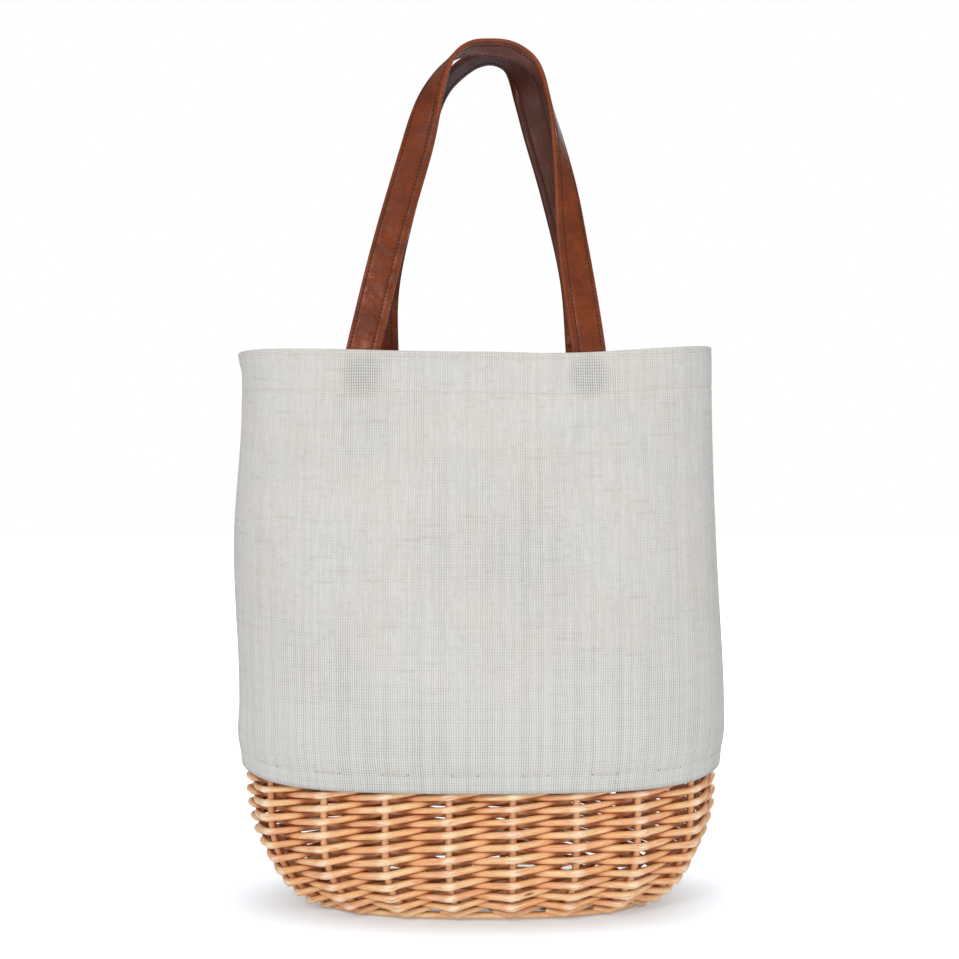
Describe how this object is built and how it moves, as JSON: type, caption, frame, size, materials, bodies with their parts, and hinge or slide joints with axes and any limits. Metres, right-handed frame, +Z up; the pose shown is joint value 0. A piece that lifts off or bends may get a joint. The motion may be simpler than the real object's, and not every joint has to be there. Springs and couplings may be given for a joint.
{
  "type": "basket tote bag",
  "caption": "Tote bag with an oval woven willow basket as its base, a plain canvas tube sewn round the rim and two stitched strap handles that fold out over the sides.",
  "frame": {"origin": "middle of the footprint, on the surface that the basket stands on", "axes": "+Z up to the handles, +X to the right along the long side, -Y towards the front panel"},
  "size_m": [0.364, 0.1644, 0.6366],
  "materials": {
    "willow": "satin peeled willow rod",
    "willow_stake": "satin willow rod, a little darker",
    "canvas": "matte plain-woven canvas",
    "leather": "satin grained strap, stitched along both edges"
  },
  "bodies": {
    "bag": {"side_weaver_01": "willow", "side_weaver_02": "willow", "side_weaver_03": "willow", "side_weaver_04": "willow", "side_weaver_05": "willow", "side_weaver_06": "willow", "side_weaver_07": "willow", "side_weaver_08": "willow", "side_weaver_09": "willow", "side_weaver_10": "willow", "side_weaver_11": "willow", "side_weaver_12": "willow", "side_weaver_13": "willow", "side_weaver_14": "willow", "side_weaver_15": "willow", "side_weaver_16": "willow", "side_weaver_17": "willow", "side_weaver_18": "willow", "base_rod_front_1": "willow", "base_rod_rear_1": "willow", "base_rod_front_2": "willow", "base_rod_rear_2": "willow", "base_rod_front_3": "willow", "base_rod_rear_3": "willow", "base_rod_front_4": "willow", "base_rod_rear_4": "willow", "base_rod_front_5": "willow", "base_rod_rear_5": "willow", "base_rod_front_6": "willow", "base_rod_rear_6": "willow", "base_edge_rod": "willow", "cross_stake_1": "willow_stake", "cross_stake_2": "willow_stake", "cross_stake_3": "willow_stake", "cross_stake_4": "willow_stake", "cross_stake_5": "willow_stake", "cross_stake_6": "willow_stake", "cross_stake_7": "willow_stake", "cross_stake_8": "willow_stake", "long_stake": "willow_stake", "rim_hoop_outer": "willow_stake", "rim_hoop_inner": "willow_stake", "front_canvas_panel": "canvas", "rear_canvas_panel": "canvas", "front_strap_end_1": "leather", "front_strap_end_2": "leather", "rear_strap_end_1": "leather", "rear_strap_end_2": "leather"},
    "front_handle": {"front_handle_face": "leather", "front_handle_backing": "leather"},
    "rear_handle": {"rear_handle_face": "leather", "rear_handle_backing": "leather"}
  },
  "joints": [
    {"name": "front_handle_fold", "type": "hinge", "parent": "bag", "child": "front_handle", "pos_m": [0, -0.06407, 0.4036], "axis": [1, 0, 0], "range_deg": [0, 170]},
    {"name": "rear_handle_fold", "type": "hinge", "parent": "bag", "child": "rear_handle", "pos_m": [0, 0.06407, 0.4036], "axis": [-1, 0, 0], "range_deg": [0, 170]}
  ]
}
